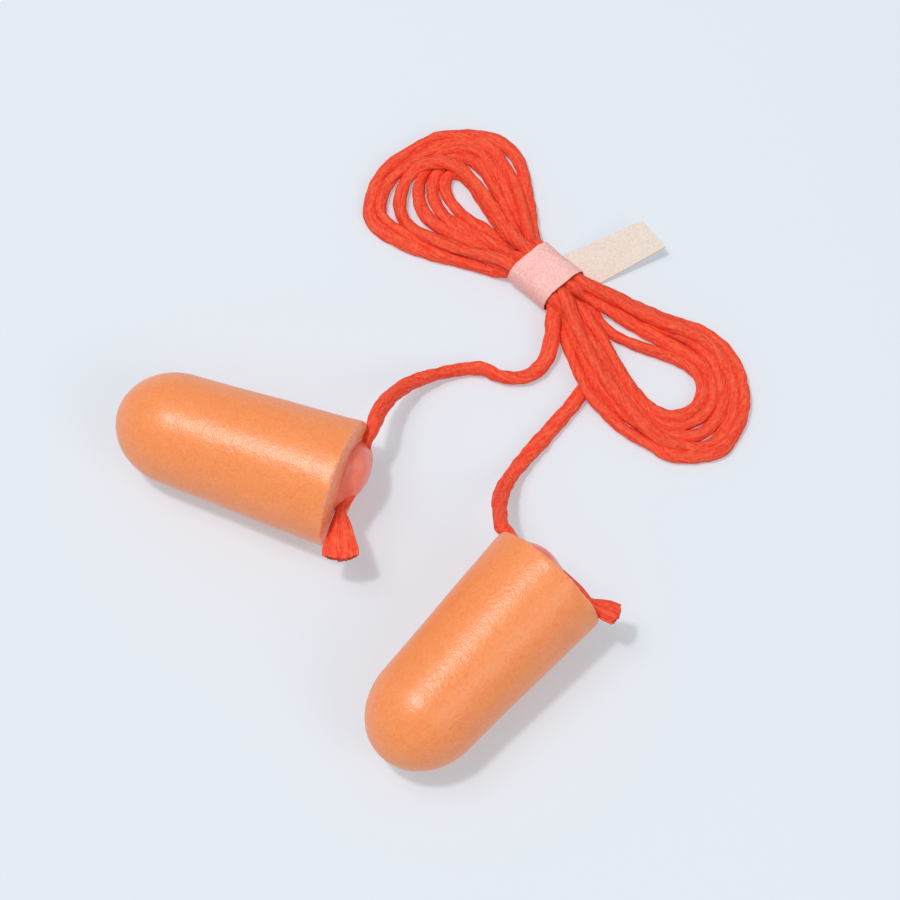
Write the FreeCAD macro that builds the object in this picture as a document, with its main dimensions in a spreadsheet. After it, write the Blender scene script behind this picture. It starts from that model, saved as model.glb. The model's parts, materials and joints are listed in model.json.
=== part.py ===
import FreeCAD, Part

import math
import os

import Sketcher

# Corded foam ear plugs, in millimetres.
#
# The two plugs lie on their sides on a table and the cord between them is wound into a
# hank, tied round its middle with a paper band whose two glued ends stick out as a tab.
# The origin is on the table under the middle of the band.  +X runs to the right, +Y away
# from the reader and +Z up.
#
# Each plug has a frame of its own: its origin is the middle of the flat base, +Z points
# into the foam towards the tip, and +X points to the side where the cord leaves.

Vector = FreeCAD.Vector
Rotation = FreeCAD.Rotation
Placement = FreeCAD.Placement

SIZES = {
    # Foam plug
    "plug_length": 24.5,
    "base_radius": 6.57,
    "shoulder_radius": 5.74,
    "tip_length": 6.63,
    "rim_round": 0.35,
    # Cord, and its frayed end glued across the base
    "cord_radius": 0.75,
    "exit_gap": 0.5,
    "swing_clearance": 0.1,
    "glued_half_width": 1.0,
    "glued_height": 1.3,
    "glued_reach": 3.4,
    "fray_reach": 7.9,
    "fray_lift": 0.45,
    "fray_width": 3.2,
    "fray_half_thickness": 0.5,
    # Drop of glue over the cord
    "glue_proud": 2.2,
    "glue_depth": 1.6,
    "glue_half_length": 4.9,
    # Hank: the waist under the band, and a lobe of turns at each side of it
    "waist_width": 5.4,
    "waist_height": 4.6,
    "waist_round": 1.6,
    "waist_bare": 2.0,
    "lobe_height": 3.4,
    "lobe_round": 1.2,
    "lobe_root_radius": 2.2,
    "upper_reach": 14.0,
    "upper_radius": 8.3,
    "upper_hole_start": 9.2,
    "upper_hole_start_radius": 0.5,
    "upper_hole_reach": 14.0,
    "upper_hole_radius": 0.9,
    "lower_reach": 19.5,
    "lower_radius": 7.1,
    "lower_hole_start": 11.5,
    "lower_hole_start_radius": 0.7,
    "lower_hole_reach": 17.2,
    "lower_hole_radius": 2.6,
    # Paper band, and its tab of two layers
    "band_width": 5.0,
    "paper_thickness": 0.12,
    "tab_length": 8.4,
    "tab_root_width": 4.4,
    "tab_end_width": 3.9,
    "tab_end_slope": 0.7,
    "tab_tuck": 0.1,
}

# Where the pieces lie on the table: places in mm, headings in degrees from +X.
HANK_HEADING = -42.0
UPPER_LOBE_HEADING = 175.5
TAB_SLANT = 22.4
TAB_RISE = 5.0
TAB_SHIFT = 2.05
PLUG_BASES = {"left": (-20.5, -24.6), "right": (-0.1, -34.3)}
PLUG_HEADINGS = {"left": -20.2, "right": 47.4}

# The cord's way from each plug to the hank, after the point where it leaves the plug.
# Beside the band the left one doubles back through a bend of under two diameters.
LEAD_ROUTES = {
    "left": [
        (-16.9, -16.0, 5.5),
        (-15.2, -13.0, 3.4),
        (-12.1, -10.7, 1.5),
        (-8.5, -9.8, 0.8),
        (-5.1, -10.2, 0.8),
        (-1.9, -10.7, 0.8),
        (-0.1, -9.2, 0.9),
        (0.6, -6.9, 1.5),
        (0.65, -5.0, 2.0),
        (1.6, -3.1, 2.4),
    ],
    "right": [
        (-5.0, -27.4, 5.5),
        (-5.0, -24.9, 3.6),
        (-4.0, -22.1, 1.5),
        (-1.9, -19.2, 0.8),
        (0.5, -16.4, 0.8),
        (3.0, -13.4, 0.8),
        (4.9, -10.4, 0.8),
        (5.6, -7.9, 0.8),
    ],
}
ARC_SHARE = 0.45

doc = FreeCAD.newDocument("ear_plugs")
sheet = doc.addObject("Spreadsheet::Sheet", "sizes")
for row, (alias, value) in enumerate(SIZES.items(), start=1):
    sheet.set(f"A{row}", alias)
    sheet.set(f"B{row}", str(value))
    sheet.setAlias(f"B{row}", alias)
doc.recompute()


def size(alias):
    """The value of one cell of the sheet."""
    return float(getattr(sheet, alias))


def heading(degrees):
    """The level unit vector at an angle from +X."""
    angle = math.radians(degrees)
    return Vector(math.cos(angle), math.sin(angle), 0)


# Sketches ---------------------------------------------------------------------------


def new_body(name):
    return doc.addObject("PartDesign::Body", name)


def new_sketch(body, name, role, offset=None, offset_expression=None):
    """A sketch on one of its body's origin planes, moved along the plane's normal."""
    sketch = body.newObject("Sketcher::SketchObject", name)
    plane = next(item for item in body.Origin.OriginFeatures if item.Role == role)
    sketch.AttachmentSupport = [(plane, "")]
    sketch.MapMode = "FlatFace"
    if offset_expression:
        sketch.AttachmentOffset = Placement(Vector(0, 0, offset), Rotation())
        sketch.setExpression("AttachmentOffset.Base.z", offset_expression)
    return sketch


def bind(sketch, index, expression):
    """Tie a sketch's dimension to the sheet."""
    sketch.setExpression(f"Constraints[{index}]", expression)


def read_point(sketch, pair):
    """The point whose two distances from the sketch's origin are given as expressions."""
    return Vector(*[float(sketch.evalExpression(text)) for text in pair], 0)


def place_point(sketch, geometry, point, across, up):
    """Fix a point of the sketch at two distances from its origin, given as expressions."""
    start = (-1, 1, geometry, point)
    values = [float(sketch.evalExpression(text)) for text in (across, up)]
    for kind, value, text in zip(("DistanceX", "DistanceY"), values, (across, up)):
        bind(sketch, sketch.addConstraint(Sketcher.Constraint(kind, *start, value)), text)


def draw_outline(sketch, corners, quarters=()):
    """A closed outline through corners given as pairs of expressions.

    Its segments are straight lines, apart from the quarters of an ellipse: each of those is
    named by its first corner's number, with the middle of its ellipse.
    """
    middles = dict(quarters)
    points = [read_point(sketch, corner) for corner in corners]
    ends = []
    for i, start in enumerate(points):
        end = points[(i + 1) % len(points)]
        if i in middles:
            ends.append(draw_quarter(sketch, start, end, middles[i]))
        else:
            ends.append((sketch.addGeometry(Part.LineSegment(start, end)), 1, 2))
    for i, (geometry, first, last) in enumerate(ends):
        place_point(sketch, geometry, first, *corners[i])
        following, joint, _ = ends[(i + 1) % len(ends)]
        sketch.addConstraint(Sketcher.Constraint("Coincident", geometry, last, following, joint))


def draw_quarter(sketch, start, end, middle):
    """A quarter of an ellipse; returns it with the numbers of its first and last points."""
    centre = read_point(sketch, middle)
    major, minor = sorted((start, end), key=lambda point: -(point - centre).Length)
    ellipse = Part.Ellipse(major, minor, centre)
    forward = (start - centre).cross(end - centre).z > 0
    if ellipse.Axis.z < 0:
        ellipse = Part.Ellipse(major, centre * 2 - minor, centre)
    low, high = (start, end) if forward else (end, start)
    first, last = ellipse.parameter(low), ellipse.parameter(high)
    if last < first:
        last += 2 * math.pi
    arc = sketch.addGeometry(Part.ArcOfEllipse(ellipse, first, last))
    sketch.exposeInternalGeometry(arc)
    level = abs((major - centre).y) < abs((major - centre).x)
    sketch.addConstraint(Sketcher.Constraint("Horizontal" if level else "Vertical", arc + 1))
    place_point(sketch, arc, 3, *middle)
    return (arc, 1, 2) if forward else (arc, 2, 1)


def draw_half_oval(sketch, lift, half_width, height):
    """The section of the flattened cord: half an ellipse, standing off the base by a lift."""
    middle = ("0", f"-({lift})")
    draw_outline(sketch, [
        (f"-{half_width}", middle[1]),
        (half_width, middle[1]),
        ("0", f"-({lift}) - {height}"),
    ], {1: middle, 2: middle})


def draw_teardrop(sketch, start, start_radius, reach, reach_radius):
    """A small circle and a large one on the +X axis, joined by their outer tangents."""
    near_x, near_r, far_x, far_r = [
        float(sketch.evalExpression(text)) for text in (start, start_radius, reach, reach_radius)
    ]
    lean = math.asin((far_r - near_r) / (far_x - near_x))
    touch = math.pi / 2 + lean
    up = Vector(0, 0, 1)
    near = Part.Circle(Vector(near_x, 0, 0), up, near_r)
    far = Part.Circle(Vector(far_x, 0, 0), up, far_r)
    near_top, near_low = near.value(touch), near.value(2 * math.pi - touch)
    far_top, far_low = far.value(touch), far.value(2 * math.pi - touch)
    near_arc = sketch.addGeometry(Part.ArcOfCircle(near, touch, 2 * math.pi - touch))
    low = sketch.addGeometry(Part.LineSegment(near_low, far_low))
    far_arc = sketch.addGeometry(Part.ArcOfCircle(far, -touch, touch))
    top = sketch.addGeometry(Part.LineSegment(far_top, near_top))
    ring = [near_arc, low, far_arc, top]
    for segment, following in zip(ring, ring[1:] + ring[:1]):
        sketch.addConstraint(Sketcher.Constraint("Tangent", segment, 2, following, 1))
    for arc, radius, value in ((near_arc, start_radius, near_r), (far_arc, reach_radius, far_r)):
        bind(sketch, sketch.addConstraint(Sketcher.Constraint("Radius", arc, value)), radius)
    place_point(sketch, near_arc, 3, start, "0")
    place_point(sketch, far_arc, 3, reach, "0")


# Features ---------------------------------------------------------------------------


def pad(body, name, sketch, length, midplane=False):
    feature = body.newObject("PartDesign::Pad", name)
    feature.Profile = sketch
    feature.setExpression("Length", length)
    feature.Midplane = midplane
    doc.recompute()
    return feature


def pocket(body, name, sketch, midplane=False, reverse=False):
    """Cut a sketch right through its body, and make sure that it cuts."""
    before = body.Shape.Volume
    feature = body.newObject("PartDesign::Pocket", name)
    feature.Profile = sketch
    feature.Type = "ThroughAll"
    feature.Midplane = midplane
    feature.Reversed = reverse
    doc.recompute()
    if not body.Shape.Volume < before - 1e-3:
        raise RuntimeError(f"{name} cuts nothing")
    return feature


def fillet(body, name, base, keep, radius):
    """Round the edges of a feature that a test picks out."""
    edges = [f"Edge{i}" for i, edge in enumerate(base.Shape.Edges, start=1) if keep(edge)]
    feature = body.newObject("PartDesign::Fillet", name)
    feature.Base = (base, edges)
    feature.setExpression("Radius", radius)
    doc.recompute()
    return feature


def is_level(edge):
    """True for an edge that lies in one level plane."""
    return edge.BoundBox.ZLength < 1e-6


def is_lengthwise(edge):
    """True for a straight edge along X."""
    return edge.BoundBox.YLength + edge.BoundBox.ZLength < 1e-6


# Plugs ------------------------------------------------------------------------------


def plug_placement(side):
    """The plug rests on its tapered side, so its base end tips up by the taper's angle."""
    taper = (size("base_radius") - size("shoulder_radius")) / (size("plug_length") - size("tip_length"))
    rise = math.atan(taper)
    facing = heading(PLUG_HEADINGS[side])
    into_foam = facing * -math.cos(rise) - Vector(0, 0, math.sin(rise))
    cord_side = heading(PLUG_HEADINGS[side] + 90)
    x, y = PLUG_BASES[side]
    middle = Vector(x, y, size("base_radius") * math.cos(rise))
    return Placement(middle, Rotation(cord_side, into_foam.cross(cord_side), into_foam, "ZXY"))


def revolve(body, name, profile, axis_edge):
    feature = body.newObject("PartDesign::Revolution", name)
    feature.Profile = profile
    feature.ReferenceAxis = (profile, [axis_edge])
    feature.Angle = 360
    doc.recompute()
    return feature


def make_foam_plug(side):
    """A tapered bullet: a cone from the flat base to the shoulder, then a rounded tip."""
    body = new_body(f"{side}_foam_plug")
    profile = new_sketch(body, f"{side}_profile", "XZ_Plane")
    shoulder = "sizes.plug_length - sizes.tip_length"
    draw_outline(profile, [
        ("0", "0"),
        ("sizes.base_radius", "0"),
        ("sizes.shoulder_radius", shoulder),
        ("0", "sizes.plug_length"),
    ], {2: ("0", shoulder)})
    bullet = revolve(body, f"{side}_bullet", profile, "V_Axis")
    fillet(body, f"{side}_rim", bullet, lambda edge: is_level(edge) and abs(edge.BoundBox.ZMin) < 1e-6,
           "sizes.rim_round")
    body.Placement = plug_placement(side)
    return body


def make_glue_cap(side):
    """A low oval drop on the base, with a channel where the cord runs through."""
    body = new_body(f"{side}_glue_cap")
    profile = new_sketch(body, f"{side}_glue_profile", "XZ_Plane")
    middle = ("0", "sizes.glue_depth")
    draw_outline(profile, [
        ("-sizes.glue_half_length", "sizes.glue_depth"),
        ("0", "-sizes.glue_proud"),
        ("sizes.glue_half_length", "sizes.glue_depth"),
    ], {0: middle, 1: middle})
    revolve(body, f"{side}_glue_drop", profile, "Edge3")
    buried = new_sketch(body, f"{side}_glue_buried", "XY_Plane")
    wide = "sizes.glue_half_length * 2"
    draw_outline(buried, [(f"-{wide}", f"-{wide}"), (wide, f"-{wide}"), (wide, wide), (f"-{wide}", wide)])
    pocket(body, f"{side}_glue_seat", buried, reverse=True)
    channel = new_sketch(body, f"{side}_cord_channel", "YZ_Plane")
    draw_half_oval(channel, "0", "sizes.glued_half_width", "sizes.glued_height")
    pocket(body, f"{side}_cord_way", channel, midplane=True)
    body.Placement = plug_placement(side)
    return body


def make_frayed_end(side):
    """The cord's end: a straight stretch glued across the base, then a flat ragged fan."""
    body = new_body(f"{side}_frayed_end")
    reach = "sizes.base_radius + sizes.exit_gap - sizes.cord_radius - sizes.swing_clearance"
    root = new_sketch(body, f"{side}_fray_root", "YZ_Plane", -size("glued_reach"), "-sizes.glued_reach")
    draw_half_oval(root, "0", "sizes.glued_half_width", "sizes.glued_height")
    pad(body, f"{side}_glued_stretch", root, f"sizes.glued_reach + {reach}")
    tip = new_sketch(body, f"{side}_fray_tip", "YZ_Plane", -size("fray_reach"), "-sizes.fray_reach")
    draw_half_oval(tip, "sizes.fray_lift", "sizes.fray_half_thickness", "sizes.fray_width")
    fan = body.newObject("PartDesign::AdditiveLoft", f"{side}_fan")
    fan.Profile = root
    fan.Sections = [tip]
    fan.Ruled = True
    doc.recompute()
    body.Placement = plug_placement(side)
    return body


# Cord between the plugs and the hank ------------------------------------------------


def exit_point(side):
    """Where the cord leaves the base's rim; the plug swings about the upright line here."""
    local = Vector(size("base_radius") + size("exit_gap"), 0, -size("cord_radius"))
    return plug_placement(side).multVec(local)


def route_wire(points):
    """Straight runs joined by tangent arcs, each as large as its two runs allow."""
    edges = []
    radii = []
    start = points[0]
    for before, corner, after in zip(points, points[1:], points[2:]):
        back, ahead = before - corner, after - corner
        shorter = min(back.Length, ahead.Length)
        back.normalize()
        ahead.normalize()
        turn = math.pi - back.getAngle(ahead)
        trim = ARC_SHARE * shorter
        radius = trim / math.tan(turn / 2)
        enter, leave = corner + back * trim, corner + ahead * trim
        inward = (back + ahead).normalize()
        middle = corner + inward * (radius / math.cos(turn / 2) - radius)
        edges += [Part.LineSegment(start, enter).toShape(), Part.Arc(enter, middle, leave).toShape()]
        radii.append(radius)
        start = leave
    edges.append(Part.LineSegment(start, points[-1]).toShape())
    return Part.Wire(edges), radii


def make_lead(side, hank):
    """The loose cord from a plug to the hank: a tube with a ball end at the plug."""
    points = [exit_point(side)] + [Vector(*point) for point in LEAD_ROUTES[side]]
    wire, radii = route_wire(points)
    radius = size("cord_radius")
    section = Part.Wire(Part.Circle(points[0], points[1] - points[0], radius).toShape())
    tube = wire.makePipeShell([section], True, False)
    expected = math.pi * radius ** 2 * wire.Length
    if abs(tube.Volume / expected - 1) > 0.01:
        raise RuntimeError(f"{side} lead's tube has the wrong volume")
    print(f"{side} lead: {wire.Length:.1f} mm, radii", [round(value, 1) for value in radii])
    ball = Part.makeSphere(radius, points[0])
    lead = doc.addObject("Part::Feature", f"{side}_lead")
    lead.Shape = tube.fuse(ball).cut(hank.Shape).removeSplitter()
    return lead


# Hank, band and tab -----------------------------------------------------------------


def make_bar(name, length, width, height, rounding, bottom):
    """A bar along X, centred over the origin, with its four long edges rounded."""
    body = new_body(name)
    box = body.newObject("PartDesign::AdditiveBox", f"{name}_block")
    box.setExpression("Length", length)
    box.setExpression("Width", width)
    box.setExpression("Height", height)
    box.setExpression("Placement.Base.x", f"-({length}) / 2")
    box.setExpression("Placement.Base.y", f"-({width}) / 2")
    box.setExpression("Placement.Base.z", bottom)
    doc.recompute()
    fillet(body, f"{name}_edges", box, is_lengthwise, rounding)
    body.Placement = Placement(Vector(), Rotation(Vector(0, 0, 1), HANK_HEADING))
    return body


def make_lobe(name, turn):
    """One flat lobe of turns, with the opening that they leave, along its own +X."""
    body = new_body(f"{name}_lobe")
    outline = new_sketch(body, f"{name}_outline", "XY_Plane")
    start = "sizes.band_width / 2 + sizes.lobe_root_radius"
    draw_teardrop(outline, start, "sizes.lobe_root_radius", f"sizes.{name}_reach", f"sizes.{name}_radius")
    solid = pad(body, f"{name}_turns", outline, "sizes.lobe_height")
    fillet(body, f"{name}_round", solid, is_level, "sizes.lobe_round")
    opening = new_sketch(body, f"{name}_opening", "XY_Plane")
    draw_teardrop(opening, f"sizes.{name}_hole_start", f"sizes.{name}_hole_start_radius",
                  f"sizes.{name}_hole_reach", f"sizes.{name}_hole_radius")
    pocket(body, f"{name}_hole", opening, reverse=True)
    body.Placement = Placement(Vector(), Rotation(Vector(0, 0, 1), HANK_HEADING + turn))
    return body


def make_hank_and_band():
    """The hank's lobes and waist as one solid, and the paper sleeve round the waist."""
    waist = make_bar("waist", "sizes.band_width + 2 * sizes.waist_bare", "sizes.waist_width",
                     "sizes.waist_height", "sizes.waist_round", "sizes.paper_thickness")
    sleeve = make_bar("sleeve", "sizes.band_width", "sizes.waist_width + 2 * sizes.paper_thickness",
                      "sizes.waist_height + 2 * sizes.paper_thickness",
                      "sizes.waist_round + sizes.paper_thickness", "0")
    hank = doc.addObject("Part::MultiFuse", "cord_hank")
    hank.Shapes = [waist, make_lobe("upper", UPPER_LOBE_HEADING), make_lobe("lower", 0)]
    band = doc.addObject("Part::Cut", "paper_band")
    band.Base = sleeve
    band.Tool = waist
    doc.recompute()
    return hank, band


def make_tab():
    """The band's two ends stuck face to face, a slanted strip beside the hank."""
    body = new_body("paper_tab")
    outline = new_sketch(body, "tab_outline", "XY_Plane")
    root = f"sizes.tab_root_width / cos({TAB_SLANT})"
    side_x = f"sizes.tab_length * sin({TAB_SLANT})"
    side_y = f"sizes.tab_length * cos({TAB_SLANT})"
    draw_outline(outline, [
        ("0", "0"),
        (root, "0"),
        (f"{side_x} + sizes.tab_end_width", side_y),
        (side_x, f"{side_y} + sizes.tab_end_slope"),
    ])
    pad(body, "tab_paper", outline, "2 * sizes.paper_thickness", midplane=True)
    across = size("waist_width") / 2 - size("tab_tuck")
    along = TAB_SHIFT - size("tab_root_width") / math.cos(math.radians(TAB_SLANT)) / 2
    turn = Rotation(Vector(0, 0, 1), HANK_HEADING)
    corner = turn.multVec(Vector(along, across, 2 * size("paper_thickness")))
    body.Placement = Placement(corner, turn * Rotation(Vector(1, 0, 0), TAB_RISE))
    return body


def main():
    hank, band = make_hank_and_band()
    pieces = [hank, band, make_tab()]
    for side in PLUG_BASES:
        pieces += [make_foam_plug(side), make_glue_cap(side), make_frayed_end(side)]
        pieces.append(make_lead(side, hank))
    doc.recompute()
    for item in doc.Objects:
        if "Invalid" in item.State or "Error" in item.State:
            raise RuntimeError(f"{item.Name} failed: {item.State}")
    os.makedirs("parts", exist_ok=True)
    for piece in pieces:
        shape = piece.Shape
        if shape.isNull() or not shape.isValid() or len(shape.Solids) != 1:
            raise RuntimeError(f"{piece.Label} isn't one valid solid")
        shape.exportStep(f"parts/{piece.Label}.step")
    for side in PLUG_BASES:
        print(f"{side} swing axis at", [round(value, 3) for value in exit_point(side)])
    print("tab crease at", [round(value, 3) for value in pieces[2].Placement.Base])


main()
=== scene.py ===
"""Corded foam ear plugs: two soft plugs on one limp cord, its spare length wound into a hank."""
import json

import bpy
import numpy as np
from bpy.props import FloatProperty, FloatVectorProperty, PointerProperty
from bpy.types import Operator, Panel, PropertyGroup
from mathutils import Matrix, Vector


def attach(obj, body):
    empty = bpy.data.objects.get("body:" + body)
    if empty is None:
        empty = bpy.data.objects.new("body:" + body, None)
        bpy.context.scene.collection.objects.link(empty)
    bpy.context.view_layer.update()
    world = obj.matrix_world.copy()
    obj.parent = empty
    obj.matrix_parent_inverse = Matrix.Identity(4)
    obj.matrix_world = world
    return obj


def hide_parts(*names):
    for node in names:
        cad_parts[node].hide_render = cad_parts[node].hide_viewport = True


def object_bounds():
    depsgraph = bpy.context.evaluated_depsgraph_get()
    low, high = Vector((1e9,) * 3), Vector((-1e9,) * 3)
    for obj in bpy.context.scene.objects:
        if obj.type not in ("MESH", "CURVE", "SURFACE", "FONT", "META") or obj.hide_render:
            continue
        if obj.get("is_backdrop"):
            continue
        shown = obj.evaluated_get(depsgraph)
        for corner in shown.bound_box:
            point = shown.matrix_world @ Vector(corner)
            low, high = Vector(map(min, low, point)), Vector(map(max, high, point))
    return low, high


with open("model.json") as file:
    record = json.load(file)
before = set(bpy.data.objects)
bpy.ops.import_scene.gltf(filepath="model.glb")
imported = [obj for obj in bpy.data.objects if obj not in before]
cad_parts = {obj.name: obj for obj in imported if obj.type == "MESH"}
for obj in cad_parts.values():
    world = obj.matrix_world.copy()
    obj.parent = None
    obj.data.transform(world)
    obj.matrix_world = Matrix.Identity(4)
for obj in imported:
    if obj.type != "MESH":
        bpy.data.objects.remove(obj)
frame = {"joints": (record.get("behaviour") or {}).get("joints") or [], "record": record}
CAD_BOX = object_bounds()

bl_info = {
    "name": "Corded Foam Ear Plugs",
    "version": (1, 0, 0),
    "blender": (4, 5, 0),
    "location": "3D View > Sidebar > Ear Plugs",
    "description": "Builds two foam ear plugs, their cord, its hank and the paper band",
    "category": "Add Mesh",
}

MM = 0.001
SIDES = ("left", "right")
MOUNTS = {mount["name"]: mount for mount in frame["record"]["mounts"]}
JOINTS = {joint["name"]: joint for joint in frame["joints"]}
EXITS = {side: np.array(JOINTS[f"{side}_plug_swing"]["pos_m"]) / MM for side in SIDES}

# The cord's route, in mm ---------------------

# From each plug's exit to the hank.
LEAD_ROUTES = {
    "left": [
        (-17.2, -16.0, 5.5), (-15.2, -13.0, 3.4), (-12.4, -10.9, 1.5), (-9.0, -9.8, 0.8),
        (-6.3, -9.7, 0.8), (-5.3, -10.6, 0.8), (-2.3, -11.0, 0.8), (-0.1, -9.3, 0.9),
        (0.6, -6.9, 1.5), (0.65, -5.0, 2.0),
    ],
    "right": [
        (-5.0, -27.4, 5.5), (-5.0, -24.9, 3.6), (-4.0, -22.1, 1.5), (-1.9, -19.2, 0.8),
        (0.5, -16.4, 0.8), (3.0, -13.4, 0.8), (4.9, -10.4, 0.8), (5.6, -7.9, 0.8),
        (4.3, -5.0, 0.8),
    ],
}
# How far the soft cord gives way from each exit, pressed against the foam's edge.
EXIT_SHIFTS = {"left": np.array([-0.28, 0.22, 0.0]), "right": np.array([-0.1, -0.1, 0.0])}
# The hank's own directions: along it from the upper lobe to the lower, and across it.
HANK_HEADING = np.radians(-42)
ALONG = np.array([np.cos(HANK_HEADING), np.sin(HANK_HEADING), 0.0])
ACROSS = np.array([-ALONG[1], ALONG[0], 0.0])
UP = np.array([0, 0, 1.0])
# One row for each half turn: the height that it is laid down from, then how far from the band
# and how far across it passes, out along one side of the lobe and back along the other.
UPPER_LOOPS = [
    (1.2, [(4.2, 2.8), (6.1, 4.4), (8.2, 6.1), (10.2, 7.9), (12.3, 8.9), (14.6, 8.8),
           (16.3, 7.9), (18.3, 6.3), (19.6, 4.8), (20.2, 3.0), (20.8, 1.2), (21.2, -0.9),
           (20.9, -3.0), (20.2, -4.8), (19.2, -6.3), (17.9, -7.0), (16.1, -6.8), (13.7, -6.3),
           (11.5, -5.5), (9.0, -4.3), (6.6, -3.2), (4.4, -2.3)]),
    (2.2, [(4.2, 2.2), (5.8, 3.4), (7.8, 5.0), (9.9, 6.3), (12.1, 7.0), (14.0, 7.6),
           (15.8, 7.3), (17.5, 5.8), (18.8, 4.0), (19.5, 1.7), (20.0, -0.7), (19.9, -2.9),
           (19.1, -4.7), (18.1, -5.9), (16.6, -6.2), (14.6, -5.8), (12.4, -5.1), (9.9, -4.1),
           (7.2, -2.9), (4.4, -1.9)]),
    (3.5, [(4.2, 0.8), (5.8, 1.1), (8.1, 1.8), (10.9, 2.7), (13.5, 3.3), (15.3, 3.4),
           (16.7, 3.0), (18.0, 1.9), (18.7, 0.5), (18.7, -1.2), (18.0, -2.8), (17.0, -4.0),
           (15.6, -4.8), (13.8, -5.0), (11.9, -4.6), (9.6, -3.8), (7.2, -2.8), (4.4, -1.8)]),
    (1.4, [(4.2, 1.9), (5.8, 2.9), (7.9, 4.1), (9.9, 5.2), (11.9, 6.2), (13.8, 6.7),
           (15.8, 6.6), (17.3, 5.6), (18.1, 4.0), (18.2, 2.1), (17.7, 0.1), (16.6, -1.5),
           (15.1, -2.5), (13.4, -2.8), (11.3, -2.5), (9.2, -1.9), (6.5, -1.4), (4.4, -0.9)]),
    (1.6, [(4.2, 1.2), (5.7, 1.9), (8.2, 3.2), (10.3, 4.2), (12.4, 5.1), (14.1, 5.5),
           (15.6, 5.3), (16.8, 4.4), (17.1, 2.8), (16.6, 1.0), (15.7, -0.3), (14.4, -1.1),
           (12.8, -1.5), (11.2, -1.4), (9.5, -1.1), (7.6, -0.7), (5.6, -0.6), (4.2, -0.5)]),
    (1.0, [(4.2, 0.7), (5.7, 1.0), (7.6, 1.6), (9.8, 2.3), (12.2, 3.0), (14.1, 3.3),
           (15.4, 3.3), (15.9, 2.4), (15.4, 1.3), (14.3, 0.5), (12.9, 0.1), (11.2, -0.1),
           (9.5, 0.1), (7.7, 0.2), (5.9, 0.1), (4.2, -0.2)]),
]
LOWER_LOOPS = [
    (1.2, [(4.2, 2.8), (6.0, 3.3), (8.8, 3.9), (12.0, 5.0), (14.5, 6.0), (16.2, 6.5),
           (18.5, 6.6), (20.6, 6.1), (23.2, 4.2), (24.8, 2.3), (25.5, -0.1), (25.7, -1.9),
           (24.4, -3.8), (22.2, -5.7), (20.3, -6.1), (17.4, -6.9), (14.2, -6.8), (11.8, -6.6),
           (9.2, -5.3), (6.8, -3.9), (4.2, -2.6)]),
    (1.6, [(4.2, 2.2), (5.9, 2.6), (9.1, 3.2), (12.0, 4.1), (14.8, 5.0), (17.2, 5.2),
           (19.9, 4.5), (21.9, 2.9), (23.0, 1.2), (23.3, -1.4), (22.4, -3.2), (20.8, -4.5),
           (18.8, -5.2), (16.3, -5.5), (13.3, -5.4), (11.0, -4.9), (8.2, -3.6), (4.2, -2.1)]),
    (2.2, [(4.2, 1.1), (5.7, 1.7), (8.9, 2.6), (12.4, 3.1), (14.4, 3.3), (16.4, 3.7),
           (18.6, 3.8), (20.4, 3.0), (21.7, 1.5), (22.0, -0.4), (21.4, -2.3), (20.1, -3.8),
           (18.0, -4.4), (15.8, -4.4), (13.5, -4.0), (10.9, -3.2), (7.9, -2.1), (4.4, -1.0)]),
    (3.4, [(4.2, 1.9), (6.5, 2.7), (10.0, 3.7), (13.0, 4.7), (16.0, 5.7), (19.0, 5.8),
           (22.0, 4.4), (24.1, 2.2), (24.9, -0.4), (24.7, -2.5), (23.0, -4.5), (19.8, -5.6),
           (16.6, -5.2), (13.6, -4.8), (10.6, -4.0), (7.2, -2.6), (4.4, -1.3)]),
    (1.6, [(4.0, 0.6), (6.4, 0.2), (8.6, 0.1), (10.6, 0.6), (12.6, 1.3), (14.7, 2.2),
           (16.5, 2.8), (18.4, 3.0), (19.9, 2.3), (20.8, 0.7), (20.6, -1.4), (19.3, -3.1),
           (17.7, -3.7), (15.6, -3.4), (13.8, -2.8), (11.5, -2.2), (8.1, -1.2), (4.5, -0.4)]),
]
# Where the passes through the band lie, across it and above the floor: first those on the side
# that the lobes' rows start from, then those on the side that they end on.
STARTING_PASSES = [(1.75, 2.2), (1.6, 0.9), (0.55, 3.45), (1.6, 3.35), (0.6, 2.2), (0.5, 0.85)]
ENDING_PASSES = [(-1.75, 2.2), (-1.6, 0.9), (-1.6, 3.3), (-0.6, 2.2), (-0.5, 3.4), (-0.5, 0.85)]
BAND_STATIONS = (-2.9, -1.0, 1.0, 2.9)
POINT_SPACING = 1.1
# How near two turns lie, and a turn and the looser cord on its way to a plug.
STRAND_GAP = 1.18
LEAD_GAP = 1.45
CORD_REST_HEIGHT = 0.68
# Points this near along the cord don't push each other away.
HELD_NEIGHBOURS = 3
# In each settling round: the share of an overlap that is made good, how much of that is
# sideways, the share of the way back to its own place, the sinking in mm, and the share of a
# kink that is evened out.
PUSH_SHARE = 0.38
SIDEWAYS_SHARE = 0.55
HOME_SHARE = 0.1
SINK = 0.035
EVENING_SHARE = 0.3
# The route's first points are too far out to meet the turns.
FAR_POINTS = 4
# How much thinner the cord is where it is wound and pulled snug, how far from its ends that
# starts, and over what length, in mm.
WOUND_SHARE = 0.12
WOUND_FROM = 25
WOUND_OVER = 8
# The length of cord, in mm, over which its streaks change once.
STREAK_LENGTH = 9


def linear(red, green, blue):
    """Screen values from 0 to 255 as the linear colour that Blender mixes in."""
    shares = np.array([red, green, blue]) / 255
    return tuple(np.where(shares <= 0.04045, shares / 12.92, ((shares + 0.055) / 1.055) ** 2.4))


# Settings ------------------------------------


def length_setting(name, description, default):
    return FloatProperty(name=name, description=description, default=default, min=0,
                         precision=5, unit="LENGTH")


def strength_setting(name, description, default):
    return FloatProperty(name=name, description=description, default=default, min=0)


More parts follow.
